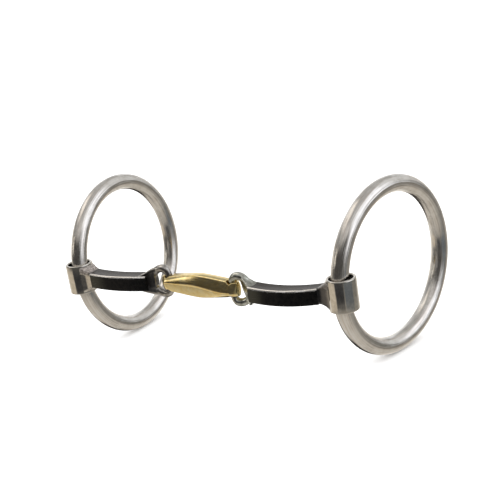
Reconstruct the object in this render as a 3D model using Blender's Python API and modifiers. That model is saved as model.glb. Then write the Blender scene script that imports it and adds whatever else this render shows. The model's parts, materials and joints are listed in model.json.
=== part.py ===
"""Snaffle bit with a double-jointed mouthpiece.

Two round rings slide through upright sleeves at the ends of the mouthpiece. Each sleeve is welded
to an arm made of a flared butt, a flat-sided black bar and an upright eye. The eyes pass through
the holes of a faceted brass link in the middle. Units are metres. The brass link lies along X with
its centre at the origin, and every pivot pin and sleeve stands along Z.
"""
import math

import bmesh
import bpy
from mathutils import Matrix, Vector

# Overall sizes
MOUTH_WIDTH = 0.1270
RING_OUTER_DIAMETER = 0.0762
RING_WIRE_DIAMETER = 0.0074

# Sleeves, and the play that they leave all round the ring's wire
RING_PLAY = 0.0013
SLEEVE_WALL = 0.0012
SLEEVE_HEIGHT = 0.0135
SLEEVE_EDGE_ROUND = 0.0005

# Butts, between the sleeves and the bars. Their sides stand in from the sleeve's, and they
# reach the sleeve's height within a share of their length
BUTT_REACH = 0.0092
BUTT_SIDE_INSET = 0.0010
BUTT_FLARE = 2.0
BUTT_FLARE_SHARE = 0.83
BUTT_STATIONS = 9

# Bars
BAR_HEIGHT = 0.0067
BAR_DEPTH = 0.0077
BAR_EDGE_ROUND = 0.0010
BAR_BOW = 0.0026
BAR_SAG = {"left": 0.0002, "right": 0.0011}
BAR_STATIONS = 14

# Eyes, one at the inner end of each bar, with their play above and below the link's tip
EYE_REACH = 0.0100
EYE_WIRE_DIAMETER = 0.0030
EYE_PLAY = 0.00094
EYE_SQUARENESS = 2.5
EYE_POINTS = 36

# Necks, between the eyes' loops and the bars: how far they stand in from each
NECK_SHOULDER = 0.0019
NECK_SIDE_INSET = 0.0004
NECK_STEP = 0.0002
NECK_STATIONS = 3

# Brass centre link
LINK_HOLE_SPACING = 0.0340
LINK_HOLE_PLAY = 0.0008
LINK_TIP_WALL = 0.0016
LINK_END_HEIGHT = 0.0047
LINK_MIDDLE_HEIGHT = 0.0100
LINK_MIDDLE_DEPTH = 0.0095
LINK_TOP_DEPTH = 0.0056
LINK_TRIM = 0.0002
LINK_TIP_SEGMENTS = 16

# Resting pose: folds and swivels in degrees about Z, leans in degrees about the ring's own
# level radius, and the shares of their play by which the loose pieces sit off the middle
ARM_FOLD = {"left": 4.1, "right": 6.2}
RING_SWIVEL = {"left": -0.7, "right": -14.4}
RING_LEAN = {"left": -2.0, "right": 1.9}
EYE_RISE_SHARE = {"left": 0.53, "right": -0.32}
RING_RISE = 0.0004
RING_SHIFT_SHARE = {"left": 0.50, "right": 0.65}

# Clearance between pieces that touch, and the roundness of the meshes
JOIN_GAP = 0.0003
RING_SEGMENTS = 72
WIRE_SEGMENTS = 16
SLEEVE_SEGMENTS = 48
HOLE_SEGMENTS = 32
SMOOTH_ANGLE = math.radians(35)

RING_RADIUS = (RING_OUTER_DIAMETER - RING_WIRE_DIAMETER) / 2
SLEEVE_RADIUS = RING_WIRE_DIAMETER / 2 + RING_PLAY + SLEEVE_WALL
SLEEVE_SPACING = MOUTH_WIDTH + RING_WIRE_DIAMETER + RING_PLAY * sum(RING_SHIFT_SHARE.values())
ARM_LENGTH = (SLEEVE_SPACING - LINK_HOLE_SPACING) / 2
BAR_START = EYE_REACH + JOIN_GAP / 2
BAR_END = ARM_LENGTH - BUTT_REACH - JOIN_GAP / 2
EYE_WIRE_RADIUS = EYE_WIRE_DIAMETER / 2
LINK_HOLE_RADIUS = EYE_WIRE_RADIUS + LINK_HOLE_PLAY
LINK_TIP_RADIUS = LINK_HOLE_RADIUS + LINK_TIP_WALL
LINK_HALF_LENGTH = LINK_HOLE_SPACING / 2 + LINK_TIP_RADIUS + LINK_TRIM
LINK_TAPER = (LINK_MIDDLE_HEIGHT - LINK_END_HEIGHT) / LINK_HALF_LENGTH
LINK_HEIGHT_AT_HOLE = LINK_MIDDLE_HEIGHT - LINK_TAPER * LINK_HOLE_SPACING / 2
EYE_HEIGHT = LINK_HEIGHT_AT_HOLE + 2 * (EYE_PLAY + EYE_WIRE_DIAMETER)
SIDES = {"left": -1, "right": 1}


def clear_scene():
    for item in list(bpy.data.objects):
        bpy.data.objects.remove(item, do_unlink=True)


def new_collection(name):
    collection = bpy.data.collections.new(name)
    bpy.context.scene.collection.children.link(collection)
    return collection


def metal(name, colour, roughness):
    material = bpy.data.materials.new(name)
    material.use_nodes = True
    shader = material.node_tree.nodes["Principled BSDF"]
    shader.inputs["Base Color"].default_value = (*colour, 1.0)
    shader.inputs["Metallic"].default_value = 1.0
    shader.inputs["Roughness"].default_value = roughness
    return material


def add_object(name, mesh, material, collection, parent=None):
    item = bpy.data.objects.new(name, mesh)
    collection.objects.link(item)
    mesh.materials.clear()
    mesh.materials.append(material)
    mesh.shade_smooth()
    mesh.set_sharp_from_angle(angle=SMOOTH_ANGLE)
    item.parent = parent
    return item


def add_empty(name, collection, location, turn, parent=None):
    """Axis of a moving piece: an empty turned about Z, in degrees."""
    empty = bpy.data.objects.new(name, None)
    empty.empty_display_size = SLEEVE_HEIGHT
    collection.objects.link(empty)
    empty.location = location
    empty.rotation_euler.z = math.radians(turn)
    empty.parent = parent
    return empty


def mesh_from(bm, name, side=1):
    """Turn a bmesh built for the right side into a mesh, mirrored for the left side."""
    if side < 0:
        bmesh.ops.scale(bm, vec=(-1, 1, 1), verts=bm.verts)
        bmesh.ops.reverse_faces(bm, faces=bm.faces)
    bmesh.ops.recalc_face_normals(bm, faces=bm.faces)
    mesh = bpy.data.meshes.new(name)
    bm.to_mesh(mesh)
    bm.free()
    return mesh


def cut(item, tool, operation):
    """Apply a boolean with a tool object to the item's mesh."""
    modifier = item.modifiers.new(operation.lower(), "BOOLEAN")
    modifier.operation = operation
    modifier.object = tool
    modifier.solver = "EXACT"
    depsgraph = bpy.context.evaluated_depsgraph_get()
    mesh = bpy.data.meshes.new_from_object(item.evaluated_get(depsgraph))
    item.modifiers.remove(modifier)
    item.data = mesh


def add_tool(name, bm, side, collection, parent=None):
    tool = bpy.data.objects.new(name, mesh_from(bm, name, side))
    collection.objects.link(tool)
    tool.parent = parent
    tool.hide_render = True
    tool.display_type = "WIRE"
    return tool


def bend(reach, sag):
    """How far the arm bows forward and sags, as an arch between its eye and its sleeve."""
    start = EYE_REACH / 2
    end = ARM_LENGTH - SLEEVE_RADIUS
    share = min(max((reach - start) / (end - start), 0), 1)
    arch = 4 * share * (1 - share)
    return -BAR_BOW * arch, -sag * arch


def rounded_section(reach, depth, height, sag):
    """Corner points of an upright rounded rectangle at a distance along the arm."""
    corner = BAR_EDGE_ROUND
    forward, down = bend(reach, sag)
    points = []
    steps = 4
    centres = [(1, 1, 0), (-1, 1, 90), (-1, -1, 180), (1, -1, 270)]
    for y_sign, z_sign, start in centres:
        for step in range(steps):
            angle = math.radians(start + 90 * step / (steps - 1))
            y = y_sign * (depth / 2 - corner) + corner * math.cos(angle)
            z = z_sign * (height / 2 - corner) + corner * math.sin(angle)
            points.append(Vector((reach, y + forward, z + down)))
    return points


def loft(bm, sections):
    """Skin closed sections of equal point counts and cap both ends."""
    loops = [[bm.verts.new(point) for point in section] for section in sections]
    for first, second in zip(loops, loops[1:]):
        for index in range(len(first)):
            after = (index + 1) % len(first)
            bm.faces.new((first[index], first[after], second[after], second[index]))
    bm.faces.new(loops[0])
    bm.faces.new(loops[-1])


def upright_cylinder(bm, radius, height, segments, x=0.0):
    bmesh.ops.create_cone(
        bm,
        cap_ends=True,
        segments=segments,
        radius1=radius,
        radius2=radius,
        depth=height,
        matrix=Matrix.Translation((x, 0, 0)),
    )


def bar_mesh(name, side, sag):
    bm = bmesh.new()
    sections = []
    for station in range(BAR_STATIONS + 1):
        reach = BAR_START + (BAR_END - BAR_START) * station / BAR_STATIONS
        sections.append(rounded_section(reach, BAR_DEPTH, BAR_HEIGHT, sag))
    loft(bm, sections)
    return mesh_from(bm, name, side)


def butt_mesh(name, side, sag):
    """Horn that widens from the bar to the full height of the sleeve."""
    bm = bmesh.new()
    start = ARM_LENGTH - BUTT_REACH + JOIN_GAP / 2
    root_depth = 2 * (SLEEVE_RADIUS - BUTT_SIDE_INSET)
    root = ARM_LENGTH - math.sqrt(SLEEVE_RADIUS ** 2 - (root_depth / 2) ** 2)
    sections = []
    for station in range(BUTT_STATIONS + 1):
        share = station / BUTT_STATIONS
        reach = start + (root - start) * share
        swell = min(share / BUTT_FLARE_SHARE, 1)
        depth = BAR_DEPTH + (root_depth - BAR_DEPTH) * swell
        height = BAR_HEIGHT + (SLEEVE_HEIGHT - BAR_HEIGHT) * swell ** BUTT_FLARE
        sections.append(rounded_section(reach, depth, height, sag))
    loft(bm, sections)
    return mesh_from(bm, name, side)


def sleeve_profile_points():
    """Closed section of the sleeve wall, from the top of the outside downwards."""
    outer = SLEEVE_RADIUS
    inner = outer - SLEEVE_WALL
    top = SLEEVE_HEIGHT / 2
    chamfer = SLEEVE_EDGE_ROUND
    return [
        (outer - chamfer, top),
        (outer, top - chamfer),
        (outer, -top + chamfer),
        (outer - chamfer, -top),
        (inner + chamfer / 2, -top),
        (inner, -top + chamfer / 2),
        (inner, top - chamfer / 2),
        (inner + chamfer / 2, top),
    ]


def add_sleeve(name, material, collection, parent):
    bm = bmesh.new()
    verts = [bm.verts.new((radius, 0, height)) for radius, height in sleeve_profile_points()]
    for first, second in zip(verts, verts[1:] + verts[:1]):
        bm.edges.new((first, second))
    sleeve = add_object(name, mesh_from(bm, name), material, collection, parent)
    screw = sleeve.modifiers.new("turn", "SCREW")
    screw.angle = 2 * math.pi
    screw.steps = SLEEVE_SEGMENTS
    screw.render_steps = SLEEVE_SEGMENTS
    screw.use_merge_vertices = True
    screw.merge_threshold = 0.00001
    screw.use_normal_calculate = True
    return sleeve


def eye_points():
    """Centre line of the eye's loop: upright at the pivot, rounded towards the bar."""
    half_length = (EYE_REACH - EYE_WIRE_RADIUS) / 2
    half_height = EYE_HEIGHT / 2 - EYE_WIRE_RADIUS
    power = 2 / EYE_SQUARENESS
    points = []
    for index in range(EYE_POINTS):
        angle = 2 * math.pi * index / EYE_POINTS
        along = math.copysign(abs(math.cos(angle)) ** power, math.cos(angle))
        up = math.copysign(abs(math.sin(angle)) ** power, math.sin(angle))
        points.append((half_length * (1 - along), half_height * up))
    return points


def add_loop(name, side, collection):
    """The eye's loop as a curve, made a mesh so that it can be joined."""
    curve = bpy.data.curves.new(name, "CURVE")
    curve.dimensions = "3D"
    curve.bevel_depth = EYE_WIRE_RADIUS
    curve.bevel_resolution = 3
    spline = curve.splines.new("POLY")
    points = eye_points()
    spline.points.add(len(points) - 1)
    for point, (along, up) in zip(spline.points, points):
        point.co = (side * along, 0, up, 1)
    spline.use_cyclic_u = True
    guide = bpy.data.objects.new(name, curve)
    collection.objects.link(guide)
    depsgraph = bpy.context.evaluated_depsgraph_get()
    mesh = bpy.data.meshes.new_from_object(guide.evaluated_get(depsgraph))
    bm = bmesh.new()
    bm.from_mesh(mesh)
    bmesh.ops.remove_doubles(bm, verts=bm.verts, dist=0.00001)
    bmesh.ops.recalc_face_normals(bm, faces=bm.faces)
    bm.to_mesh(mesh)
    bm.free()
    bpy.data.objects.remove(guide, do_unlink=True)
    return mesh


def neck_sections(sag):
    """Sections of the neck, from inside the loop's outer wire to the bar."""
    start = EYE_REACH - EYE_WIRE_DIAMETER
    end = EYE_REACH - JOIN_GAP / 2
    start_depth = EYE_WIRE_DIAMETER - 2 * NECK_SIDE_INSET
    start_height = EYE_HEIGHT - 2 * NECK_SHOULDER
    end_depth = BAR_DEPTH - 2 * NECK_STEP
    end_height = BAR_HEIGHT - 2 * NECK_STEP
    sections = []
    for station in range(NECK_STATIONS + 1):
        share = station / NECK_STATIONS
        reach = start + (end - start) * share
        depth = start_depth + (end_depth - start_depth) * share
        height = start_height + (end_height - start_height) * share
        sections.append(rounded_section(reach, depth, height, sag))
    return sections


def add_eye(name, side, sag, material, collection, tools, parent):
    eye = add_object(name, add_loop(name, side, collection), material, collection, parent)
    bm = bmesh.new()
    loft(bm, neck_sections(sag))
    neck = add_tool(name + "_neck", bm, side, tools, parent)
    bpy.context.view_layer.update()
    cut(eye, neck, "UNION")
    eye.data.name = name
    return eye


def link_section(x, top_depth, depth, height):
    half = height / 2
    return [
        Vector((x, -top_depth / 2, half)),
        Vector((x, -depth / 2, 0)),
        Vector((x, -top_depth / 2, -half)),
        Vector((x, top_depth / 2, -half)),
        Vector((x, depth / 2, 0)),
        Vector((x, top_depth / 2, half)),
    ]


def link_outline():
    """Plan of the link: round tips about the holes and straight sides to the middle."""
    half_spacing = LINK_HOLE_SPACING / 2
    points = []
    for side in (1, -1):
        for step in range(LINK_TIP_SEGMENTS + 1):
            angle = math.radians(-90 + 180 * step / LINK_TIP_SEGMENTS)
            x = half_spacing + LINK_TIP_RADIUS * math.cos(angle)
            y = LINK_TIP_RADIUS * math.sin(angle)
            points.append((side * x, side * y))
        points.append((0, side * (LINK_MIDDLE_DEPTH / 2 + LINK_TRIM)))
    return points


def add_link(material, collection, tools):
    """Six-sided lozenge, trimmed to round tips and bored upright at each end."""
    end_depth = 2 * (LINK_TIP_RADIUS + LINK_TRIM)
    bm = bmesh.new()
    loft(bm, [
        link_section(-LINK_HALF_LENGTH, LINK_TOP_DEPTH, end_depth, LINK_END_HEIGHT),
        link_section(0, LINK_TOP_DEPTH, LINK_MIDDLE_DEPTH, LINK_MIDDLE_HEIGHT),
        link_section(LINK_HALF_LENGTH, LINK_TOP_DEPTH, end_depth, LINK_END_HEIGHT),
    ])
    link = add_object("centre_link", mesh_from(bm, "centre_link"), material, collection)
    bm = bmesh.new()
    low = [bm.verts.new((x, y, -LINK_MIDDLE_HEIGHT)) for x, y in link_outline()]
    high = [bm.verts.new((x, y, LINK_MIDDLE_HEIGHT)) for x, y in link_outline()]
    for index in range(len(low)):
        after = (index + 1) % len(low)
        bm.faces.new((low[index], low[after], high[after], high[index]))
    bm.faces.new(low)
    bm.faces.new(high)
    outline = add_tool("link_plan", bm, 1, tools)
    holes = []
    for side in SIDES.values():
        bm = bmesh.new()
        x = side * LINK_HOLE_SPACING / 2
        upright_cylinder(bm, LINK_HOLE_RADIUS, LINK_MIDDLE_HEIGHT * 2, HOLE_SEGMENTS, x)
        holes.append(add_tool("link_hole", bm, 1, tools))
    bpy.context.view_layer.update()
    cut(link, outline, "INTERSECT")
    for hole in holes:
        cut(link, hole, "DIFFERENCE")
    link.data.name = "centre_link"
    return link


def add_butt(name, side, sag, material, collection, tools, parent):
    butt = add_object(name, butt_mesh(name, side, sag), material, collection, parent)
    bm = bmesh.new()
    radius = SLEEVE_RADIUS + JOIN_GAP
    upright_cylinder(bm, radius, SLEEVE_HEIGHT * 2, SLEEVE_SEGMENTS, ARM_LENGTH)
    seat = add_tool(name + "_seat", bm, side, tools, parent)
    bpy.context.view_layer.update()
    cut(butt, seat, "DIFFERENCE")
    butt.data.name = name
    return butt


def add_ring(name, side, shift, lean, material, collection, parent):
    """Torus whose wire passes through the sleeve, a little towards the mouth."""
    bpy.ops.mesh.primitive_torus_add(
        major_radius=RING_RADIUS,
        minor_radius=RING_WIRE_DIAMETER / 2,
        major_segments=RING_SEGMENTS,
        minor_segments=WIRE_SEGMENTS,
    )
    source = bpy.context.object
    mesh = source.data
    mesh.name = name
    bpy.data.objects.remove(source, do_unlink=True)
    ring = add_object(name, mesh, material, collection, parent)
    half_height = SLEEVE_HEIGHT / 2
    sag = RING_RADIUS - math.sqrt(RING_RADIUS ** 2 - half_height ** 2)
    ring.location = (-side * shift, RING_RADIUS - sag / 2, RING_RISE)
    ring.rotation_euler.y = math.radians(90 + lean)
    return ring


def add_side(name, materials, collection, tools):
    """One arm with its sleeve and ring. The arm dips from its eye to a level sleeve."""
    side = SIDES[name]
    steel, sleeve_steel, black = materials
    rise = EYE_PLAY * EYE_RISE_SHARE[name]
    pivot = (side * LINK_HOLE_SPACING / 2, 0, rise)
    arm = add_empty(name + "_arm_pivot", collection, pivot, ARM_FOLD[name])
    arm.rotation_euler.y = side * math.asin(rise / ARM_LENGTH)
    sag = BAR_SAG[name]
    add_eye(name + "_eye", side, sag, sleeve_steel, collection, tools, arm)
    add_object(name + "_bar", bar_mesh(name + "_bar", side, sag), black, collection, arm)
    add_butt(name + "_butt", side, sag, sleeve_steel, collection, tools, arm)
    seat = (side * ARM_LENGTH, 0, 0)
    swivel = add_empty(name + "_sleeve_axis", collection, seat, RING_SWIVEL[name], arm)
    add_sleeve(name + "_sleeve", sleeve_steel, collection, swivel)
    shift = RING_PLAY * RING_SHIFT_SHARE[name]
    add_ring(name + "_ring", side, shift, RING_LEAN[name], steel, collection, swivel)


def build():
    clear_scene()
    collection = new_collection("snaffle_bit")
    tools = new_collection("cutters")
    steel = metal("ring_steel", (0.62, 0.61, 0.58), 0.28)
    sleeve_steel = metal("sleeve_steel", (0.50, 0.47, 0.43), 0.25)
    black = metal("black_iron", (0.030, 0.028, 0.030), 0.38)
    brass = metal("brass", (0.68, 0.50, 0.22), 0.22)
    materials = (steel, sleeve_steel, black)
    add_link(brass, collection, tools)
    for name in SIDES:
        add_side(name, materials, collection, tools)


build()
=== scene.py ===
"""Looks of a snaffle bit: two steel rings, a black double-jointed mouthpiece and a brass link.

Every fine piece is placed by the frame: the joints give the axes of the rings, the sleeves and the
arms, and the frame's own solids give the sizes. Lengths are metres. An arm is modelled in its own
coordinates: x runs from the pivot in the link's hole to the sleeve, y to the back, z up.
"""
import json
import math

import bmesh
import bpy
from mathutils import Matrix, Vector, noise


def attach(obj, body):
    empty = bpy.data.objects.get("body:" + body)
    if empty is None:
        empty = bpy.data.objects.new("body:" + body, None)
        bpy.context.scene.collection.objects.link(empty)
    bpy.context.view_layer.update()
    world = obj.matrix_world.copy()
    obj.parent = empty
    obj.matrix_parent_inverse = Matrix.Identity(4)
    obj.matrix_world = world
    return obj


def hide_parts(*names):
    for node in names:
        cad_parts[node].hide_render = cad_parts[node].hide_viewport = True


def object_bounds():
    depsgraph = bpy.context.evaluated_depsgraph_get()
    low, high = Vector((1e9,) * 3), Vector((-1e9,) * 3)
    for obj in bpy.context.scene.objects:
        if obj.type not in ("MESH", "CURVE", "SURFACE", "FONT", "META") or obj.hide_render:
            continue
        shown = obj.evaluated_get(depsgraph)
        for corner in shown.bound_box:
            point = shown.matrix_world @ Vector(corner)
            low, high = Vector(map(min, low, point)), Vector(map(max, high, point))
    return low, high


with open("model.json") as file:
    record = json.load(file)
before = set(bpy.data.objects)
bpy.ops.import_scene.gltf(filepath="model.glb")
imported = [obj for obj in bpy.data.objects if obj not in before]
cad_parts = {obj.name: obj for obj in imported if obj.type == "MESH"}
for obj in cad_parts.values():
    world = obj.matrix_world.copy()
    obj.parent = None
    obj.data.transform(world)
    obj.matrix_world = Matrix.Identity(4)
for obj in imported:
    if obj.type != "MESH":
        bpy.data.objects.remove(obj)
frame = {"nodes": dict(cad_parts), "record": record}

cad_low, cad_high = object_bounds()

SIDES = {"left": -1, "right": 1}
JOINTS = {joint["name"]: joint for joint in frame["record"]["behaviour"]["joints"]}

# Camera: where it stands round the point that it looks at, in metres and degrees, and its lens in mm
CAMERA_AIM = (0.0161, 0.0168, 0.0112)
CAMERA_DISTANCE = 0.4711
CAMERA_AZIMUTH = 37.88
CAMERA_ELEVATION = 16.8
CAMERA_ROLL = -8.64
CAMERA_LENS = 79.2

# Fineness of the meshes, the angle above which an edge stays sharp, and the distance within
# which points of the frame's solids count as level
RING_STEPS = 192
WIRE_POINTS = 40
SLEEVE_STEPS = 128
EYE_STEPS = 72
EYE_WIRE_POINTS = 20
DRILL_POINTS = 96
ARM_CUTS = 26
SECTION_CUTS = 13
SHARP_ANGLE = 40
SLEEVE_SHARP_ANGLE = 60
LEVEL = 1e-5

# How much finer the clouds of the hand polish are than its waves
CLOUD_FINENESS = 2.7

# Share of a section's grid lines, out from the middle, that its flat stretch takes up
FLAT_LINES = 0.45

# Bars: rounding, crown and wear of the long edges
BAR_EDGE = 0.0008
BAR_CROWN = 0.00018
EDGE_WEAR = 2.6
LOWER_WEAR = 0.15
# How sharply the painted sheen on the bars' tops falls off below the top
TOP_SHARPNESS = 12

# Butts: they start inside the bar's end and flare by a power of the way to the sleeve. The weld's
# lumps are noise laid over the butt's rough extent
BURIED = 0.0009
STEP_IN = 0.00012
BUTT_EDGE = 0.0009
BUTT_SIDE_FLARE = 1.7
BUTT_SIDE_REACH = 0.0004
BUTT_FRONT_FLARE = {"left": 1.25, "right": 2.1}
BUTT_BACK_FLARE = {"left": 2.6, "right": 2.1}
WELD_LUMPS = {"left": 0.00042, "right": 0.00012}
WELD_LUMP_SIZE = 0.0014
WELD_LUMP_EXTENT = Vector((0.008, 0.005, 0.006))
WELD_LUMP_OFFSET = 7
WELD_FALL = 1.1

# Sleeves
SLEEVE_RIM = 0.00045
SLEEVE_RIM_POINTS = 6

# Eyes: how much the wire swells, rises and leans at its top and bottom, how the neck meets the loop
# and the bar, and the waves that forging leaves
EYE_SQUARENESS = 2.3
EYE_SWELL = 0.0004
EYE_RAISED = 0.0005
EYE_OVERHANG = 0.0009
EYE_VOXEL = 0.00022
EYE_SMOOTHING = 14
EYE_TANGENT_STEP = 0.02
NECK_DEPTH_SHARE = 1.1
NECK_HEIGHT_INSET = 0.3
NECK_START = {"left": 0.0068, "right": 0.0062}
NECK_SLANT = {"left": 0.0002, "right": 0.0019}
NECK_OVERLAP = {"left": 0.0046, "right": 0.0024}
NECK_STEP = -0.00006
NECK_EDGE = 0.0011
FORGE_WAVES = 0.00014
FORGE_WAVE_SIZE = 0.0036
FORGE_OFFSET = {"left": Vector((-11, 3, 0)), "right": Vector((11, 3, 0))}

# Brass link
LINK_CUTS = 72
LINK_PEAK_SOFTNESS = 0.0035
LINK_RIDGE_SOFTNESS = 0.07
LINK_RIDGE_RISE = {"left": 0.0009, "right": -0.0016}
LINK_RIDGE_DROP = (-0.004, 0.014)
LINK_PILLOW = 0.00018
LINK_END_SWELL = 0.0006
LINK_TIP_TRIM = 0.0003
LINK_BLUNT_END = 0.0005
LINK_VOXEL = 0.00025
LINK_SMOOTHING = 8

FLOOR_SIZE = 14.0
FLOOR_GREY = 0.93
FLOOR_ROUGHNESS = 0.9


def clamp(value):
    return min(max(value, 0), 1)


def smooth_share(value):
    """Ease a share from 0 to 1 in and out."""
    return value * value * (3 - 2 * value)


# ---------------------------------------------------------------- places from the frame

def joint_line(name):
    joint = JOINTS[name]
    return Vector(joint["pos_m"]), Vector(joint["axis"]).normalized()


def basis(x, y, z, origin):
    place = Matrix((x, y, z)).transposed().to_4x4()
    place.translation = origin
    return place


def arm_place(side):
    """The arm's coordinates, mirrored on the left so that the front stays the front."""
    pivot, _ = joint_line(side + "_arm_fold")
    seat, down = joint_line(side + "_ring_swivel")
    up = -down
    root = pivot + up * up.dot(seat - pivot)
    along = (seat - root).normalized()
    back = up.cross(along) * SIDES[side]
    return basis(along, back, up, root)


def ring_place(side):
    centre, axis = joint_line(side + "_ring_slide")
    up = (Vector((0, 0, 1)) - axis * axis.z).normalized()
    return basis(up.cross(axis), up, axis, centre)


def local_points(node, place):
    inverse = place.inverted()
    return [inverse @ vertex.co for vertex in frame["nodes"][node].data.vertices]


def local_box(node, place):
    points = local_points(node, place)
    low = Vector([min(point[axis] for point in points) for axis in range(3)])
    high = Vector([max(point[axis] for point in points) for axis in range(3)])
    return low, high


def round_size(node, place):
    """Outer radius, bore radius and half length of a round node about the z axis of its place."""
    points = local_points(node, place)
    radii = [point.xy.length for point in points]
    return max(radii), min(radii), max(abs(point.z) for point in points)


def section_centre(node, place, reach):
    """Middle of the node's section nearest to a distance along the arm."""
    points = local_points(node, place)
    near = min(abs(point.x - reach) for point in points)
    ring = [point for point in points if abs(point.x - reach) < near + LEVEL]
    y = (min(point.y for point in ring) + max(point.y for point in ring)) / 2
    z = (min(point.z for point in ring) + max(point.z for point in ring)) / 2
    return ring[0].x, y, z


class Arm:
    """Sizes of one arm, read from its solids."""

    def __init__(self, side):
        self.side = side
        self.place = arm_place(side)
        seat, _ = joint_line(side + "_ring_swivel")
        self.length = (self.place.inverted() @ seat).x
        self.sleeve_place = self.place @ Matrix.Translation((self.length, 0, 0))
        self.sleeve_radius, self.bore, self.sleeve_half = round_size(
            side + "_sleeve", self.sleeve_place)
        self.eye_low, self.eye_high = local_box(side + "_eye", self.place)
        bar_low, bar_high = local_box(side + "_bar", self.place)
        self.bar_start, self.bar_end = bar_low.x, bar_high.x
        bar_points = local_points(side + "_bar", self.place)
        start = [point for point in bar_points if point.x < self.bar_start + LEVEL]
        self.bar_depth = max(point.y for point in start) - min(point.y for point in start)
        self.bar_height = max(point.z for point in start) - min(point.z for point in start)
        self.arch_start = self.eye_high.x / 2
        self.arch_end = self.length - self.sleeve_radius
        middle = (self.bar_start + self.bar_end) / 2
        x, y, z = section_centre(side + "_bar", self.place, middle)
        self.bow = y / self.arch(x)
        self.sag = z / self.arch(x)

    def arch(self, reach):
        """Parabola along the arm, 0 at both ends of its arch and 1 in the middle."""
        share = clamp((reach - self.arch_start) / (self.arch_end - self.arch_start))
        return 4 * share * (1 - share)

    def centre(self, reach):
        """How far back and up the bar's middle line lies."""
        return self.bow * self.arch(reach), self.sag * self.arch(reach)


# ---------------------------------------------------------------- mesh helpers

def add_piece(name, bm, material, place, sharp=SHARP_ANGLE):
    """Turn bm into an object. Edges above the sharp angle stay sharp, and none do if it is 0."""
    bm.transform(place)
    bmesh.ops.recalc_face_normals(bm, faces=bm.faces)
    mesh = bpy.data.meshes.new(name)
    bm.to_mesh(mesh)
    bm.free()
    mesh.materials.append(material)
    mesh.shade_smooth()
    if sharp:
        mesh.set_sharp_from_angle(angle=math.radians(sharp))
    piece = bpy.data.objects.new(name, mesh)
    bpy.context.scene.collection.objects.link(piece)
    return piece


def applied(piece):
    """Replace the piece's mesh with the result of its modifiers."""
    depsgraph = bpy.context.evaluated_depsgraph_get()
    mesh = bpy.data.meshes.new_from_object(piece.evaluated_get(depsgraph))
    piece.modifiers.clear()
    mesh.name = piece.name
    piece.data = mesh
    return piece


def soften(piece, voxel, rounds):
    """Fuse the piece into one skin and round off its edges."""
    remesh = piece.modifiers.new("fuse", "REMESH")
    remesh.mode = "VOXEL"
    remesh.voxel_size = voxel
    remesh.use_smooth_shade = True
    smooth = piece.modifiers.new("soften", "SMOOTH")
    smooth.factor = 0.5
    smooth.iterations = rounds
    applied(piece)


def beam(bm, cuts_along, cuts_across):
    """Unit bar from x 0 to 1, y and z from -1 to 1, cut into a grid."""
    bmesh.ops.create_cube(bm, size=2)
    for vertex in bm.verts:
        vertex.co.x = (vertex.co.x + 1) / 2
    for axis, cuts in ((0, cuts_along), (1, cuts_across), (2, cuts_across)):
        edges = []
        for edge in bm.edges:
            step = edge.verts[1].co - edge.verts[0].co
            if abs(step[axis]) == max(abs(value) for value in step):
                edges.append(edge)
        bmesh.ops.subdivide_edges(bm, edges=edges, cuts=cuts, use_grid_fill=True)


def round_corner(y, z, half_depth, half_height, radius):
    """Push the corner of a section in so that it follows a quarter circle."""
    over_y = abs(y) - (half_depth - radius)
    over_z = abs(z) - (half_height - radius)
    if over_y > 0 and over_z > 0:
        size = max(over_y, over_z)
        length = math.hypot(over_y, over_z)
        over_y, over_z = over_y * size / length, over_z * size / length
        y = math.copysign(half_depth - radius + over_y, y)
        z = math.copysign(half_height - radius + over_z, z)
    return y, z


def corner_spread(value, half, radius):
    """Move the grid lines of a unit section so that most of them lie in its rounded corners."""
    flat = 1 - radius / half
    share = abs(value)
    if share < FLAT_LINES:
        moved = flat * share / FLAT_LINES
    else:
        moved = flat + (1 - flat) * (share - FLAT_LINES) / (1 - FLAT_LINES)
    return math.copysign(moved, value) * half


def full_turn(bm, steps):
    """Spin the outline in bm once round the z axis."""
    bmesh.ops.spin(
        bm,
        geom=bm.verts[:] + bm.edges[:],
        cent=(0, 0, 0),
        axis=(0, 0, 1),
        angle=2 * math.pi,
        steps=steps,
        use_merge=True,
    )


def wire_ring(bm, radius, wire, points, steps):
    """Round wire bent into a ring about the z axis."""
    turn = Matrix.Translation((radius, 0, 0)) @ Matrix.Rotation(math.pi / 2, 4, "X")
    bmesh.ops.create_circle(bm, segments=points, radius=wire, matrix=turn)
    full_turn(bm, steps)


# ---------------------------------------------------------------- pieces

def make_ring(side):
    place = ring_place(side)
    outer, _, wire = round_size(side + "_ring", place)
    bm = bmesh.new()
    wire_ring(bm, outer - wire, wire, WIRE_POINTS, RING_STEPS)
    ring = add_piece(side + "_round_ring", bm, ring_steel(side, place), place, sharp=0)
    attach(ring, side + "_ring")
    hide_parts(side + "_ring")


def sleeve_profile(outer, bore, half):
    """Half section of the sleeve's wall, clockwise from the bottom of the bore."""
    points = []
    corners = [
        (bore, half, 1, -1, 180),
        (outer, half, -1, -1, 90),
        (outer, -half, -1, 1, 0),
        (bore, -half, 1, 1, 270),
    ]
    for radius, height, inward, level, start in corners:
        for step in range(SLEEVE_RIM_POINTS + 1):
            angle = math.radians(start - 90 * step / SLEEVE_RIM_POINTS)
            x = radius + SLEEVE_RIM * (inward + math.cos(angle))
            z = height + SLEEVE_RIM * (level + math.sin(angle))
            points.append((x, 0, z))
    return points


def make_sleeve(arm):
    bm = bmesh.new()
    profile = sleeve_profile(arm.sleeve_radius, arm.bore, arm.sleeve_half)
    verts = [bm.verts.new(point) for point in profile]
    for first, second in zip(verts, verts[1:] + verts[:1]):
        bm.edges.new((first, second))
    full_turn(bm, SLEEVE_STEPS)
    name = arm.side + "_ring_sleeve"
    sleeve = add_piece(name, bm, sleeve_steel(arm), arm.sleeve_place, sharp=SLEEVE_SHARP_ANGLE)
    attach(sleeve, arm.side + "_arm")
    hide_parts(arm.side + "_sleeve")


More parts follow.
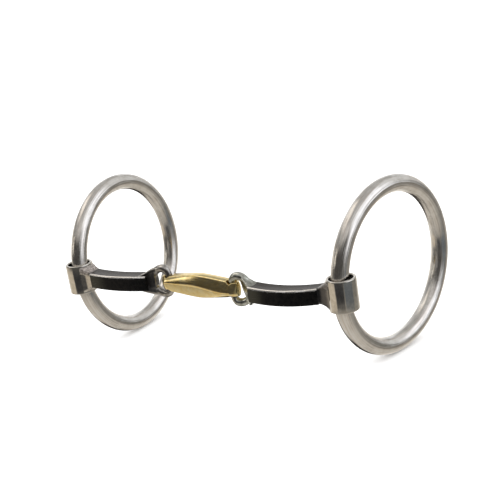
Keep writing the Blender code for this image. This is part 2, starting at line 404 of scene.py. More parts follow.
def make_bar(arm):
    """Flat-sided bar that bows along the arm, with a slight crown on top and below."""
    bm = bmesh.new()
    beam(bm, ARM_CUTS, SECTION_CUTS)
    half_depth, half_height = arm.bar_depth / 2, arm.bar_height / 2
    start = arm.bar_start - STEP_IN
    end = arm.bar_end + STEP_IN
    for vertex in bm.verts:
        reach = start + (end - start) * vertex.co.x
        y = corner_spread(vertex.co.y, half_depth, BAR_EDGE)
        z = corner_spread(vertex.co.z, half_height, BAR_EDGE)
        y, z = round_corner(y, z, half_depth, half_height, BAR_EDGE)
        crown = -BAR_CROWN * (y / half_depth) ** 2
        forward, rise = arm.centre(reach)
        crown = math.copysign(crown, z) * abs(z) / half_height
        vertex.co = (reach, y + forward, z + rise + crown)
    bar = add_piece(arm.side + "_black_bar", bm, black_iron(arm), arm.place)
    wear_attributes(bar, arm)
    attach(bar, arm.side + "_arm")
    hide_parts(arm.side + "_bar")


def wear_attributes(bar, arm):
    """Mark how close each point is to one of the bar's long edges, and which lie on top, where a sheen
    is painted.
    """
    inverse = arm.place.inverted()
    half_depth, half_height = arm.bar_depth / 2, arm.bar_height / 2
    edge = bar.data.attributes.new("edge", "FLOAT", "POINT")
    top = bar.data.attributes.new("top", "FLOAT", "POINT")
    for index, vertex in enumerate(bar.data.vertices):
        point = inverse @ vertex.co
        forward, rise = arm.centre(point.x)
        over_y = max(0, abs(point.y - forward) - half_depth + BAR_EDGE) / BAR_EDGE
        over_z = max(0, abs(point.z - rise) - half_height + BAR_EDGE) / BAR_EDGE
        wear = EDGE_WEAR if point.z > rise else EDGE_WEAR * LOWER_WEAR
        edge.data[index].value = min(1, wear * over_y * over_z)
        top.data[index].value = clamp((point.z - rise) / half_height) ** TOP_SHARPNESS


def make_butt(arm):
    """Horn from the bar to the sleeve, rough where it is welded on top."""
    bm = bmesh.new()
    beam(bm, ARM_CUTS, SECTION_CUTS)
    start = arm.bar_end - BURIED
    inside = (arm.sleeve_radius + arm.bore) / 2
    start_depth = arm.bar_depth / 2 - STEP_IN
    start_height = arm.bar_height / 2 - STEP_IN
    root_depth = inside - BUTT_SIDE_REACH
    root_height = arm.sleeve_half - SLEEVE_RIM / 2
    units = [vertex.co.copy() for vertex in bm.verts]
    for vertex in bm.verts:
        share = vertex.co.x
        swell = share ** BUTT_SIDE_FLARE
        front = (1 - vertex.co.y) / 2
        flare = BUTT_FRONT_FLARE[arm.side] * front + BUTT_BACK_FLARE[arm.side] * (1 - front)
        half_depth = start_depth + (root_depth - start_depth) * swell
        half_height = start_height + (root_height - start_height) * share ** flare
        y = corner_spread(vertex.co.y, half_depth, BUTT_EDGE)
        z = corner_spread(vertex.co.z, half_height, BUTT_EDGE)
        y, z = round_corner(y, z, half_depth, half_height, BUTT_EDGE)
        root = arm.length - math.sqrt(max(inside ** 2 - y ** 2, 0))
        reach = start + (root - start) * share
        forward, rise = arm.centre(reach)
        fade = 1 - share
        lump = weld_lump(vertex.co, arm.side)
        vertex.co = (reach, y + forward * fade, z + rise * fade + lump)
    butt = add_piece(arm.side + "_flared_butt", bm, butt_steel(arm), arm.place)
    butt_attributes(butt, units)
    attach(butt, arm.side + "_arm")
    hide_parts(arm.side + "_butt")


def butt_attributes(butt, units):
    """Keep where each point lies along the butt and up its height."""
    along = butt.data.attributes.new("along", "FLOAT", "POINT")
    lift = butt.data.attributes.new("lift", "FLOAT", "POINT")
    for index, unit in enumerate(units):
        along.data[index].value = unit.x
        lift.data[index].value = unit.z


def weld_lump(unit, side):
    """Uneven rise of the weld at a point of the unit bar. It fades out at both ends."""
    top = max(0, unit.z) ** 3 * math.sin(math.pi * min(unit.x * WELD_FALL, 1))
    point = unit * WELD_LUMP_EXTENT / WELD_LUMP_SIZE
    offset = Vector((SIDES[side] * WELD_LUMP_OFFSET, 0, 0))
    return WELD_LUMPS[side] * top * noise.noise(point + offset)


def loop_line(angle, half_length, half_height):
    """Point of the eye's centre line, a squared oval that starts on the bar's side."""
    power = 2 / EYE_SQUARENESS
    along = math.copysign(abs(math.cos(angle)) ** power, math.cos(angle))
    up = math.copysign(abs(math.sin(angle)) ** power, math.sin(angle))
    return Vector((half_length * (1 + along), 0, half_height * up))


def eye_loop(bm, arm, wire):
    """Wire bent along the eye's squared oval. Its top and bottom are thicker and lean over the link."""
    half_length = (arm.eye_high.x - wire) / 2
    half_height = arm.eye_high.z - wire + EYE_RAISED
    wire_ring(bm, 1, wire, EYE_WIRE_POINTS, EYE_STEPS)
    for vertex in bm.verts:
        angle = math.atan2(vertex.co.y, vertex.co.x)
        out = vertex.co.xy.length - 1
        centre = loop_line(angle, half_length, half_height)
        ahead = loop_line(angle + EYE_TANGENT_STEP, half_length, half_height)
        behind = loop_line(angle - EYE_TANGENT_STEP, half_length, half_height)
        tangent = (ahead - behind).normalized()
        outward = Vector((tangent.z, 0, -tangent.x))
        away = (centre.z / half_height) ** 2
        swell = 1 + away * EYE_SWELL / wire
        lean = Vector((-away * EYE_OVERHANG, 0, 0))
        vertex.co = centre + lean + outward * out * swell + Vector((0, vertex.co.z * swell, 0))


def eye_neck(arm, wire):
    """Neck from the loop's near side into the bar's end, a hair thinner than the bar."""
    bm = bmesh.new()
    beam(bm, ARM_CUTS, SECTION_CUTS)
    start = NECK_START[arm.side]
    end = arm.bar_start + NECK_OVERLAP[arm.side]
    start_depth = wire * NECK_DEPTH_SHARE
    start_height = arm.eye_high.z - wire * NECK_HEIGHT_INSET
    end_depth = arm.bar_depth / 2 + NECK_STEP
    end_height = arm.bar_height / 2 + NECK_STEP
    for vertex in bm.verts:
        share = vertex.co.x
        swell = smooth_share(share)
        half_depth = start_depth + (end_depth - start_depth) * swell
        half_height = start_height + (end_height - start_height) * swell
        edge = NECK_EDGE + (BAR_EDGE - NECK_EDGE) * swell
        y = corner_spread(vertex.co.y, half_depth, edge)
        z = corner_spread(vertex.co.z, half_height, edge)
        y, z = round_corner(y, z, half_depth, half_height, edge)
        slant = NECK_SLANT[arm.side] * (1 - share) * z / half_height
        reach = start + (end - start) * share - slant
        forward, rise = arm.centre(reach)
        vertex.co = (reach, y + forward, z + rise)
    return bm


def forge_waves(mesh, offset):
    """Push the surface in and out a little, as a hammer leaves it."""
    points = [vertex.co.copy() for vertex in mesh.vertices]
    normals = [normal.vector.copy() for normal in mesh.vertex_normals]
    moved = []
    for point, normal in zip(points, normals):
        wave = noise.noise(point / FORGE_WAVE_SIZE + offset)
        moved.extend(point + normal * (wave * FORGE_WAVES))
    mesh.vertices.foreach_set("co", moved)
    mesh.update()


def make_eye(arm):
    """Loop and neck fused into one forged piece, shaped in the arm's coordinates."""
    wire = -arm.eye_low.x
    bm = bmesh.new()
    eye_loop(bm, arm, wire)
    bmesh.ops.recalc_face_normals(bm, faces=bm.faces)
    neck = eye_neck(arm, wire)
    bmesh.ops.recalc_face_normals(neck, faces=neck.faces)
    part = bpy.data.meshes.new("neck")
    neck.to_mesh(part)
    neck.free()
    bm.from_mesh(part)
    bpy.data.meshes.remove(part)
    eye = add_piece(arm.side + "_loop_eye", bm, eye_steel(arm), Matrix.Identity(4), sharp=0)
    soften(eye, EYE_VOXEL, EYE_SMOOTHING)
    forge_waves(eye.data, FORGE_OFFSET[arm.side])
    eye.data.transform(arm.place)
    if arm.place.determinant() < 0:
        eye.data.flip_normals()
    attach(eye, arm.side + "_arm")
    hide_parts(arm.side + "_eye")


def soft_edge(value, softness):
    """Like abs(value), from 0 to 1, but rounded at 0."""
    return (math.hypot(value, softness) - softness) / (math.hypot(1, softness) - softness)


class Link:
    """Sizes of the brass link, read from its solid and from the pivots in its holes."""

    def __init__(self):
        points = [vertex.co for vertex in frame["nodes"]["centre_link"].data.vertices]
        middle = [point for point in points if abs(point.x) < LEVEL]
        self.hole = joint_line("right_arm_fold")[0].x
        self.half_length = max(point.x for point in points)
        self.half_height = max(point.z for point in middle)
        self.half_depth = max(point.y for point in middle)
        self.top_depth = max(point.y for point in middle if point.z > self.half_height - LEVEL)
        self.end_height = max(point.z for point in points if point.x > self.half_length - LEVEL)
        self.hole_radius = self.hole - min(
            point.x for point in points if point.x > self.hole / 2 and abs(point.y) < LEVEL)
        self.hole_depth = max(
            point.y for point in points if abs(point.x - self.hole) < LEVEL)

    def front_ridge(self, x, height):
        """How far the ridge on the front lies above the middle, as a share of the height."""
        start, stop = LINK_RIDGE_DROP
        drop = smooth_share(clamp((x - start) / (stop - start)))
        rise_left, rise_right = LINK_RIDGE_RISE["left"], LINK_RIDGE_RISE["right"]
        return (rise_left + (rise_right - rise_left) * drop) / height

    def surface(self, share, across, up):
        """Point of the surface for a share of the length and a point of the unit section."""
        tip = self.half_length - self.hole - LINK_TIP_TRIM
        end = self.hole + tip
        x = end * math.sin(math.pi * (share - 0.5))
        fall = soft_edge(x / end, LINK_PEAK_SOFTNESS / end)
        end_height = self.end_height + LINK_END_SWELL
        height = self.half_height + (end_height - self.half_height) * fall
        depth = self.half_depth + (self.hole_depth - self.half_depth) * fall * end / self.hole
        beyond = min(max(abs(x) - self.hole, 0), tip)
        depth = max(min(depth, math.sqrt(tip ** 2 - beyond ** 2)), LINK_BLUNT_END)
        top = depth * self.top_depth / self.half_depth
        ridge = self.front_ridge(x, height) if across < 0 else 0
        rise = (up - ridge) / (1 - ridge if up > ridge else 1 + ridge)
        bend = soft_edge(rise, LINK_RIDGE_SOFTNESS)
        y = across * (depth - (depth - top) * bend + LINK_PILLOW * math.sin(math.pi * bend))
        z = up * (height + LINK_PILLOW * (1 - across ** 2))
        return x, y, z


def make_link():
    """Faceted lozenge with soft ridges, drilled near each tip."""
    sizes = Link()
    bm = bmesh.new()
    beam(bm, LINK_CUTS, SECTION_CUTS)
    for vertex in bm.verts:
        vertex.co = sizes.surface(*vertex.co)
    link = add_piece("brass_link", bm, brass(), Matrix.Identity(4), sharp=0)
    drills = bmesh.new()
    for place in (-sizes.hole, sizes.hole):
        bmesh.ops.create_cone(
            drills,
            cap_ends=True,
            segments=DRILL_POINTS,
            radius1=sizes.hole_radius,
            radius2=sizes.hole_radius,
            depth=sizes.half_height * 3,
            matrix=Matrix.Translation((place, 0, 0)),
        )
    cutter = add_piece("drills", drills, link.data.materials[0], Matrix.Identity(4))
    holes = link.modifiers.new("holes", "BOOLEAN")
    holes.operation = "DIFFERENCE"
    holes.solver = "EXACT"
    holes.object = cutter
    soften(link, LINK_VOXEL, LINK_SMOOTHING)
    bpy.data.objects.remove(cutter)
    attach(link, "centre_link")
    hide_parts("centre_link")


# ---------------------------------------------------------------- node helpers

def add_node(tree, kind, inputs=None, **settings):
    made = tree.nodes.new(kind)
    for name, value in settings.items():
        setattr(made, name, value)
    for key, value in (inputs or {}).items():
        if isinstance(value, bpy.types.NodeSocket):
            tree.links.new(value, made.inputs[key])
        else:
            made.inputs[key].default_value = value
    return made


def math_node(tree, operation, *values):
    return add_node(tree, "ShaderNodeMath", dict(enumerate(values)), operation=operation).outputs[0]


def map_range(tree, value, low, high, to_low=0.0, to_high=1.0, kind="SMOOTHSTEP"):
    inputs = {"Value": value, "From Min": low, "From Max": high, "To Min": to_low, "To Max": to_high}
    return add_node(tree, "ShaderNodeMapRange", inputs, interpolation_type=kind).outputs["Result"]


def mix_colour(tree, factor, first, second):
    made = add_node(tree, "ShaderNodeMix", {"Factor": factor}, data_type="RGBA")
    for key, value in ((6, first), (7, second)):
        if isinstance(value, bpy.types.NodeSocket):
            tree.links.new(value, made.inputs[key])
        else:
            made.inputs[key].default_value = (*value, 1.0)
    return made.outputs[2]


def new_group(name, inputs, outputs):
    tree = bpy.data.node_groups.new(name, "ShaderNodeTree")
    for socket, kind, value in inputs:
        made = tree.interface.new_socket(socket, in_out="INPUT", socket_type="NodeSocket" + kind)
        if value is not None:
            made.default_value = value
    for socket, kind in outputs:
        tree.interface.new_socket(socket, in_out="OUTPUT", socket_type="NodeSocket" + kind)
    return tree, tree.nodes.new("NodeGroupInput").outputs, tree.nodes.new("NodeGroupOutput").inputs


def use_group(tree, group, inputs):
    made = tree.nodes.new("ShaderNodeGroup")
    made.node_tree = group
    for key, value in inputs.items():
        if isinstance(value, bpy.types.NodeSocket):
            tree.links.new(value, made.inputs[key])
        else:
            made.inputs[key].default_value = value
    return made.outputs


def polishing_lines_group():
    """Fine parallel marks. They run where the vector hardly changes."""
    tree, given, out = new_group(
        "polishing_lines",
        [("Vector", "Vector", None), ("W", "Float", 0.0)],
        [("Lines", "Float")],
    )
    fine = add_node(tree, "ShaderNodeTexNoise", {
        "Vector": given["Vector"], "W": given["W"], "Scale": 1.0,
        "Detail": 3.0, "Roughness": 0.6}, noise_dimensions="4D")
    tree.links.new(map_range(tree, fine.outputs["Fac"], 0.28, 0.72), out["Lines"])
    return tree


def hand_polish_group():
    """Soft waves and cloudy patches that hand polishing leaves."""
    tree, given, out = new_group(
        "hand_polish",
        [("Vector", "Vector", None), ("Scale", "Float", 200.0)],
        [("Waves", "Float"), ("Clouds", "Float")],
    )
    waves = add_node(tree, "ShaderNodeTexNoise", {
        "Vector": given["Vector"], "Scale": given["Scale"], "Detail": 1.0})
    finer = math_node(tree, "MULTIPLY", given["Scale"], CLOUD_FINENESS)
    clouds = add_node(tree, "ShaderNodeTexNoise", {
        "Vector": given["Vector"], "Scale": finer, "Detail": 4.0, "Roughness": 0.6})
    tree.links.new(waves.outputs["Fac"], out["Waves"])
    tree.links.new(map_range(tree, clouds.outputs["Fac"], 0.3, 0.7), out["Clouds"])
    return tree


def ring_flow_group():
    """Turn a ring's coordinates into ones that stay the same along its wire."""
    tree, given, out = new_group(
        "ring_flow",
        [("Vector", "Vector", None), ("Across", "Float", 2600.0), ("Along", "Float", 45.0)],
        [("Vector", "Vector"), ("W", "Float")],
    )
    parts = add_node(tree, "ShaderNodeSeparateXYZ", {0: given["Vector"]}).outputs
    flat = add_node(tree, "ShaderNodeCombineXYZ", {0: parts[0], 1: parts[1]}).outputs[0]
    radius = add_node(tree, "ShaderNodeVectorMath", {0: flat}, operation="LENGTH").outputs["Value"]
    made = add_node(tree, "ShaderNodeCombineXYZ", {
        0: math_node(tree, "MULTIPLY", radius, given["Across"]),
        1: math_node(tree, "MULTIPLY", parts[2], given["Across"]),
        2: math_node(tree, "MULTIPLY", parts[0], given["Along"])})
    tree.links.new(made.outputs[0], out["Vector"])
    tree.links.new(math_node(tree, "MULTIPLY", parts[1], given["Along"]), out["W"])
    return tree


LINES = polishing_lines_group()
POLISH = hand_polish_group()
RING_FLOW = ring_flow_group()


# ---------------------------------------------------------------- materials

# Colours. A pair is for the clear and the clouded or streaked patches of one finish
RING_GREYS = ((0.84, 0.83, 0.81), (0.60, 0.58, 0.55))
RING_WARM = (0.68, 0.58, 0.50)
RING_WARM_SHARE = 0.75
SLEEVE_GREYS = ((0.76, 0.73, 0.68), (0.62, 0.59, 0.54))
BUTT_GREYS = ((0.72, 0.69, 0.64), (0.54, 0.51, 0.47))
BUTT_HEAT = (0.060, 0.062, 0.070)
WELD_GREYS = ((0.30, 0.265, 0.245), (0.76, 0.70, 0.66))
NECK_DARK = (0.05, 0.045, 0.042)
OXIDES = ((0.0015, 0.0016, 0.0018), (0.0042, 0.0038, 0.0034))
OXIDE_THIN = (0.026, 0.024, 0.017)
OXIDE_THIN_SHARE = 0.8
# The bars' lighter top: a painted sheen, partly worn streaks
OXIDES_RUBBED_AND_SHEEN = ((0.012, 0.010, 0.009), (0.036, 0.031, 0.026))
OXIDE_IOR = 1.18
BARE_IRON = (0.86, 0.83, 0.80)
BRASSES = ((0.99, 0.84, 0.48), (0.94, 0.72, 0.32))

# Butts: where the weld starts above the bar, how ragged and strong it is, from where along the butt
# it shows and its grain, and the heat tint's attribute, limits and strength
WELD_START = 0.0002
WELD_FADE = 0.0008
WELD_RAGGED = 0.0016
WELD_SHARE = {"left": 1.0, "right": 0.45}
WELD_REACH = (0.1, 0.4)
WELD_GRAIN = 1300.0
WELD_GRAIN_LIMITS = (0.35, 0.65)
HEAT_TINT = {"left": ("lift", 0.22, 0.50, 0.93), "right": ("along", 1.10, 0.65, 0.90)}

# Eyes: the neck is dark, less so on its underside, and past its sloping crest the dark is lifted as a
# painted highlight;
# the loop is about half as dark below its top. EYE_COLOURS has the bright and dull colours and how much
# of this shows.
NECK_DARKENING = 0.005
NECK_SLOPE = 0.35
NECK_CREST = 0.0076
NECK_CREST_WIDTH = 0.0007
NECK_HIGHLIGHT_DARK_SHARE = 0.1
NECK_UNDERSIDE = (-0.0035, -0.001)
NECK_UNDERSIDE_SHADE = 0.3
LOOP_SHADE = 0.55
LOOP_SHADE_SPAN = (0.55, 0.95)
EYE_COLOURS = {
    "left": ((0.66, 0.64, 0.62), (0.36, 0.34, 0.32), 0.92),
    "right": ((0.68, 0.69, 0.64), (0.40, 0.41, 0.37), 0.12),
}

# Bars: how patchy the worn edges are and where they turn bare, and the stretch along the arm over
# which the full black turns to a thin oxide
WEAR_PATCHES = 1.1
WEAR_OFFSET = -0.58
WEAR_LIMITS = (0.55, 1.0)
THIN_PATCH = {"left": (0.0300, 0.0400), "right": (0.0190, 0.0120)}


def new_material(name, metallic=1.0):
    material = bpy.data.materials.new(name)
    material.use_nodes = True
    tree = material.node_tree
    shader = tree.nodes["Principled BSDF"]
    shader.inputs["Metallic"].default_value = metallic
    return material, tree, shader.inputs


def piece_coordinates(tree, place):
    """Object coordinates, centred and turned on a piece. On the left arm x runs the other way."""
    source = add_node(tree, "ShaderNodeTexCoord").outputs["Object"]
    turn = place.to_3x3()
    if turn.determinant() < 0:
        turn = turn @ Matrix.Diagonal((-1, 1, 1))
    return add_node(tree, "ShaderNodeMapping", {
        "Vector": source,
        "Location": place.translation,
        "Rotation": turn.to_euler()}, vector_type="TEXTURE").outputs[0]


def point_value(tree, name):
    """Value that the mesh keeps at its points."""
    return add_node(tree, "ShaderNodeAttribute", attribute_name=name).outputs["Fac"]


def straight_marks(tree, local, scale):
    """Polishing marks along the axis that has the smallest scale."""
    stretched = add_node(tree, "ShaderNodeMapping", {"Vector": local, "Scale": scale}).outputs[0]
    return use_group(tree, LINES, {"Vector": stretched})["Lines"]


def round_marks(tree, local, **stretch):
    """Polishing marks along a ring's wire."""
    flow = use_group(tree, RING_FLOW, {"Vector": local, **stretch})
    return use_group(tree, LINES, {"Vector": flow["Vector"], "W": flow["W"]})["Lines"]


def vary_roughness(tree, shader, value, smooth, rough):
    tree.links.new(map_range(tree, value, 0, 1, smooth, rough, "LINEAR"), shader["Roughness"])


def add_bump(tree, layers, target):
    """Chain of bumps, each given as height, strength and distance."""
    normal = None
    for height, strength, distance in layers:
        inputs = {"Height": height, "Strength": strength, "Distance": distance}
        if normal:
            inputs["Normal"] = normal
        normal = add_node(tree, "ShaderNodeBump", inputs).outputs["Normal"]
    tree.links.new(normal, target)


def ring_steel(side, place):
    """Polished steel with fine marks and broad warm streaks along the wire."""
    material, tree, shader = new_material(side + "_ring_steel")
    local = piece_coordinates(tree, place)
    lines = round_marks(tree, local)
    broad = round_marks(tree, local, Across=850.0, Along=16.0)
    polish = use_group(tree, POLISH, {"Vector": local, "Scale": 90.0})
    blend = math_node(tree, "MULTIPLY", lines, polish["Clouds"])
    grey = mix_colour(tree, blend, *RING_GREYS)
    streaks = math_node(tree, "MULTIPLY", broad, polish["Waves"])
    warm = math_node(tree, "MULTIPLY", streaks, RING_WARM_SHARE)
    tree.links.new(mix_colour(tree, warm, grey, RING_WARM), shader["Base Color"])
    vary_roughness(tree, shader, lines, 0.12, 0.22)
    add_bump(tree, [
        (polish["Waves"], 0.30, 0.0007),
        (broad, 0.45, 0.00026),
        (lines, 0.12, 0.00004),
    ], shader["Normal"])
    return material


def sleeve_steel(arm):
    """Polished steel with fine upright marks."""
    material, tree, shader = new_material(arm.side + "_sleeve_steel")
    local = piece_coordinates(tree, arm.sleeve_place)
    lines = straight_marks(tree, local, (2200, 2200, 120))
    polish = use_group(tree, POLISH, {"Vector": local, "Scale": 170.0})
    tree.links.new(mix_colour(tree, polish["Clouds"], *SLEEVE_GREYS), shader["Base Color"])
    vary_roughness(tree, shader, lines, 0.09, 0.16)
    add_bump(tree, [(polish["Waves"], 0.2, 0.0004), (lines, 0.08, 0.00003)], shader["Normal"])
    return material


def butt_steel(arm):
    """Polished below, rough from the weld on top, with a dark heat tint between the two."""
    material, tree, shader = new_material(arm.side + "_butt_steel")
    local = piece_coordinates(tree, arm.place)
    polish = use_group(tree, POLISH, {"Vector": local, "Scale": 260.0})
    height = add_node(tree, "ShaderNodeSeparateXYZ", {0: local}).outputs[2]
    ragged = math_node(tree, "MULTIPLY_ADD", polish["Waves"], WELD_RAGGED, height)
    low = arm.bar_height / 2 + WELD_START
    weld = map_range(tree, ragged, low, low + WELD_FADE)
    near_sleeve = map_range(tree, point_value(tree, "along"), *WELD_REACH)
    weld = math_node(tree, "MULTIPLY", weld, near_sleeve)
    weld = math_node(tree, "MULTIPLY", weld, WELD_SHARE[arm.side])
    attribute, start, end, strength = HEAT_TINT[arm.side]
    heat = map_range(tree, point_value(tree, attribute), start, end)
    tint = math_node(tree, "MULTIPLY", heat, strength)
    grain = add_node(tree, "ShaderNodeTexNoise", {
        "Vector": local, "Scale": WELD_GRAIN, "Detail": 5.0, "Roughness": 0.65}).outputs["Fac"]
    smooth = mix_colour(tree, polish["Clouds"], *BUTT_GREYS)
    tinted = mix_colour(tree, tint, smooth, BUTT_HEAT)
    rough = mix_colour(tree, map_range(tree, grain, *WELD_GRAIN_LIMITS), *WELD_GREYS)
    tree.links.new(mix_colour(tree, weld, tinted, rough), shader["Base Color"])
    vary_roughness(tree, shader, weld, 0.2, 0.5)
    pits = math_node(tree, "MULTIPLY", grain, weld)
    add_bump(tree, [(polish["Waves"], 0.25, 0.0005), (pits, 1.0, 0.0006)], shader["Normal"])
    return material


def eye_steel(arm):
    """Forged steel, darker towards the bar, with a painted highlight along the neck's crest and over
    the loop's top.
    """
    material, tree, shader = new_material(arm.side + "_eye_steel")
    local = piece_coordinates(tree, arm.place)
    polish = use_group(tree, POLISH, {"Vector": local, "Scale": 240.0})
    lines = straight_marks(tree, local, (300, 1800, 1800))
    bright, dull, scale = EYE_COLOURS[arm.side]
    steel = mix_colour(tree, polish["Clouds"], bright, dull)
    reach, _, height = add_node(tree, "ShaderNodeSeparateXYZ", {0: local}).outputs
    towards = math_node(tree, "MULTIPLY", reach, SIDES[arm.side])
    neck = map_range(tree, towards, arm.bar_start - NECK_DARKENING, arm.bar_start)
    low, high = (share * arm.eye_high.z for share in LOOP_SHADE_SPAN)
    below = map_range(tree, height, low, high, LOOP_SHADE, 0.0)
    grey = map_range(tree, height, *NECK_UNDERSIDE, NECK_UNDERSIDE_SHADE, 1.0)
    # Past the sloping crest the dark is lifted: a painted highlight along the neck's top edge and over
    # the loop's top.
    ridge = math_node(tree, "MULTIPLY_ADD", towards, NECK_SLOPE, height)
    side = map_range(
        tree, ridge, NECK_CREST, NECK_CREST + NECK_CREST_WIDTH, 1.0, NECK_HIGHLIGHT_DARK_SHARE)
    shade = math_node(tree, "MULTIPLY", grey, side)
    dark = math_node(tree, "MULTIPLY", math_node(tree, "MAXIMUM", neck, below), shade)
    mask = math_node(tree, "MULTIPLY", dark, scale)
    tree.links.new(mix_colour(tree, mask, steel, NECK_DARK), shader["Base Color"])
    vary_roughness(tree, shader, lines, 0.12, 0.24)
    add_bump(tree, [(polish["Waves"], 0.35, 0.0006), (lines, 0.1, 0.00003)], shader["Normal"])
    return material


def black_iron(arm):
    """Black oxide with a painted sheen that lightens its top, streaked with wear there, and worn to
    bare metal along the long edges.
    """
    material, tree, shader = new_material(arm.side + "_black_iron")
    shader["IOR"].default_value = OXIDE_IOR
    local = piece_coordinates(tree, arm.place)
    polish = use_group(tree, POLISH, {"Vector": local, "Scale": 220.0})
    lines = straight_marks(tree, local, (90, 1500, 1500))
    patchy = math_node(tree, "MULTIPLY_ADD", polish["Waves"], WEAR_PATCHES, WEAR_OFFSET)
    worn = math_node(tree, "ADD", point_value(tree, "edge"), patchy)
    bare = map_range(tree, worn, *WEAR_LIMITS)
    reach = add_node(tree, "ShaderNodeSeparateXYZ", {0: local}).outputs[0]
    towards = math_node(tree, "MULTIPLY", reach, SIDES[arm.side])
    start, end = THIN_PATCH[arm.side]
    thin = math_node(tree, "MULTIPLY", map_range(tree, towards, start, end), OXIDE_THIN_SHARE)
    oxide = mix_colour(tree, polish["Clouds"], *OXIDES)
    oxide = mix_colour(tree, thin, oxide, OXIDE_THIN)
    rubbed_and_sheen = mix_colour(tree, lines, *OXIDES_RUBBED_AND_SHEEN)
    # The top is lightened: a painted sheen, with worn streaks in it.
    oxide = mix_colour(tree, point_value(tree, "top"), oxide, rubbed_and_sheen)
    tree.links.new(mix_colour(tree, bare, oxide, BARE_IRON), shader["Base Color"])
    tree.links.new(bare, shader["Metallic"])
    vary_roughness(tree, shader, lines, 0.18, 0.30)
    add_bump(tree, [(polish["Waves"], 0.2, 0.0005), (lines, 0.08, 0.00004)], shader["Normal"])
    return material


def brass():
    """Polished brass with fine marks along the link."""
    material, tree, shader = new_material("yellow_brass")
    local = add_node(tree, "ShaderNodeTexCoord").outputs["Object"]
    polish = use_group(tree, POLISH, {"Vector": local, "Scale": 150.0})
    lines = straight_marks(tree, local, (110, 1700, 1700))
    tree.links.new(mix_colour(tree, polish["Clouds"], *BRASSES), shader["Base Color"])
    vary_roughness(tree, shader, lines, 0.10, 0.20)
    add_bump(tree, [(polish["Waves"], 0.15, 0.0005), (lines, 0.08, 0.00003)], shader["Normal"])
    return material


# ---------------------------------------------------------------- studio

# What the polished metal sees, with azimuth 0 at +Y and 90 at +X: the light all round at some
# elevations, and over it soft panels, each with its first and last azimuth, its lowest and highest
# elevation and the softness of its edges in degrees, and its colour. Later panels cover earlier ones.
STUDIO_LEVELS = [
    (-90, (0.62, 0.58, 0.52)),
    (-48, (0.58, 0.54, 0.475)),
    (-32, (0.40, 0.375, 0.33)),
    (-15, (0.21, 0.20, 0.18)),
    (0, (0.165, 0.16, 0.145)),
    (20, (0.23, 0.225, 0.21)),
    (42, (0.45, 0.44, 0.42)),
    (90, (0.46, 0.45, 0.44)),
]
STUDIO_PANELS = [
    ("far_low", 262, 380, -54, 6, 9, (0.95, 0.90, 0.82)),
    ("far_low_right", -20, 16, -54, -6, 9, (0.70, 0.66, 0.60)),
    ("right_soft", -20, 62, 2, 56, 9, (0.68, 0.68, 0.67)),
    ("back_glow", 285, 350, 2, 26, 6, (0.95, 0.95, 0.95)),
    ("right_panel", 48, 108, -2, 50, 8, (1.28, 1.31, 1.38)),
    ("right_panel_top", 84, 122, 36, 58, 8, (1.0, 1.0, 1.0)),
    ("front_top", 135, 172, 38, 58, 7, (0.64, 0.62, 0.60)),
    ("left_glow", 234, 290, 42, 68, 7, (1.40, 1.30, 1.18)),
    ("dark_side", 120, 237, -9, 32, 8, (0.045, 0.042, 0.038)),
    ("window", 226, 238, 8, 26, 3, (1.80, 1.70, 1.50)),
    ("low_dark", 139, 201, -25, -10, 3, (0.042, 0.042, 0.044)),
    ("low_blue", 66, 133, -25, -10, 3, (0.140, 0.155, 0.168)),
    ("low_tan", 205, 262, -26, -12, 3, (0.66, 0.58, 0.47)),
    ("low_shadow", 280, 328, -68, -27, 5, (0.03, 0.03, 0.03)),
]
DAYLIGHT = 1.8


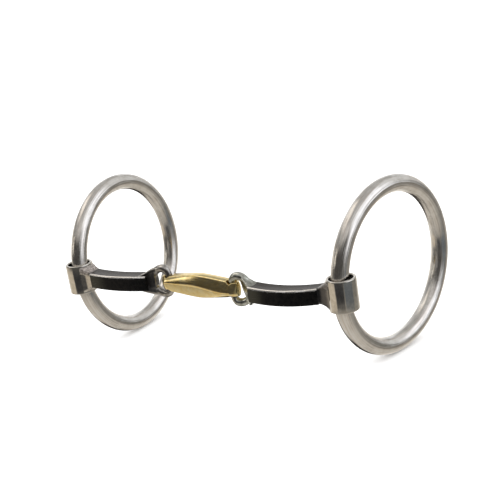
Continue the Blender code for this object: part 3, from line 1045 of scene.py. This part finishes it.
def studio_world():
    """Plain daylight all round, and the panels where polished metal mirrors the studio."""
    world = bpy.data.worlds.new("studio")
    bpy.context.scene.world = world
    world.use_nodes = True
    tree = world.node_tree
    tree.nodes.clear()
    direction = add_node(tree, "ShaderNodeTexCoord").outputs["Generated"]
    x, y, z = add_node(tree, "ShaderNodeSeparateXYZ", {0: direction}).outputs
    turn = math_node(tree, "MULTIPLY_ADD", math_node(tree, "ARCTAN2", x, y), 180 / math.pi, 360.0)
    azimuth = math_node(tree, "MODULO", turn, 360.0)
    elevation = math_node(tree, "MULTIPLY", math_node(tree, "ARCSINE", z), 180 / math.pi)
    ramp = add_node(tree, "ShaderNodeValToRGB", {
        "Fac": map_range(tree, elevation, -90.0, 90.0, kind="LINEAR")})
    elements = ramp.color_ramp.elements
    for index, (level, colour) in enumerate(STUDIO_LEVELS):
        place = (level + 90) / 180
        element = elements[index] if index < 2 else elements.new(place)
        element.position = place
        element.color = (*colour, 1.0)
    colour = ramp.outputs["Color"]
    for name, start, end, low, high, soft, shade in STUDIO_PANELS:
        sides = [
            map_range(tree, azimuth, start - soft, start + soft),
            map_range(tree, azimuth, end - soft, end + soft, 1.0, 0.0),
            map_range(tree, elevation, low - soft, low + soft),
            map_range(tree, elevation, high - soft, high + soft, 1.0, 0.0),
        ]
        mask = sides[0]
        for side in sides[1:]:
            mask = math_node(tree, "MULTIPLY", mask, side)
        colour = mix_colour(tree, mask, colour, shade)
        colour.node.label = name
    glossy = add_node(tree, "ShaderNodeLightPath").outputs["Is Glossy Ray"]
    seen = mix_colour(tree, glossy, (DAYLIGHT, DAYLIGHT, DAYLIGHT), colour)
    background = add_node(tree, "ShaderNodeBackground", {"Color": seen})
    output = add_node(tree, "ShaderNodeOutputWorld")
    tree.links.new(background.outputs[0], output.inputs["Surface"])


def make_floor():
    """Pale floor under the rings. The metal mirrors the studio's panels and not the floor."""
    bm = bmesh.new()
    bmesh.ops.create_grid(bm, x_segments=4, y_segments=4, size=FLOOR_SIZE / 2)
    material, _, shader = new_material("pale_floor", metallic=0.0)
    shader["Base Color"].default_value = (FLOOR_GREY, FLOOR_GREY, FLOOR_GREY, 1.0)
    shader["Roughness"].default_value = FLOOR_ROUGHNESS
    shader["Specular IOR Level"].default_value = 0.0
    floor = add_piece("pale_floor", bm, material, Matrix.Translation((0, 0, cad_low.z)))
    floor.visible_glossy = False


def make_camera():
    azimuth = math.radians(CAMERA_AZIMUTH)
    elevation = math.radians(CAMERA_ELEVATION)
    level = math.cos(elevation)
    back = Vector((math.sin(azimuth) * level, -math.cos(azimuth) * level, math.sin(elevation)))
    right = Vector((math.cos(azimuth), math.sin(azimuth), 0))
    up = back.cross(right)
    place = basis(right, up, back, Vector(CAMERA_AIM) + back * CAMERA_DISTANCE)
    data = bpy.data.cameras.new("camera")
    data.lens = CAMERA_LENS
    camera = bpy.data.objects.new("camera", data)
    bpy.context.scene.collection.objects.link(camera)
    camera.matrix_world = place @ Matrix.Rotation(math.radians(CAMERA_ROLL), 4, "Z")
    bpy.context.scene.camera = camera


def make_object():
    make_link()
    for side in SIDES:
        arm = Arm(side)
        make_eye(arm)
        make_bar(arm)
        make_butt(arm)
        make_sleeve(arm)
        make_ring(side)


bpy.context.scene.view_settings.view_transform = "Standard"
make_camera()
studio_world()
make_floor()
make_object()
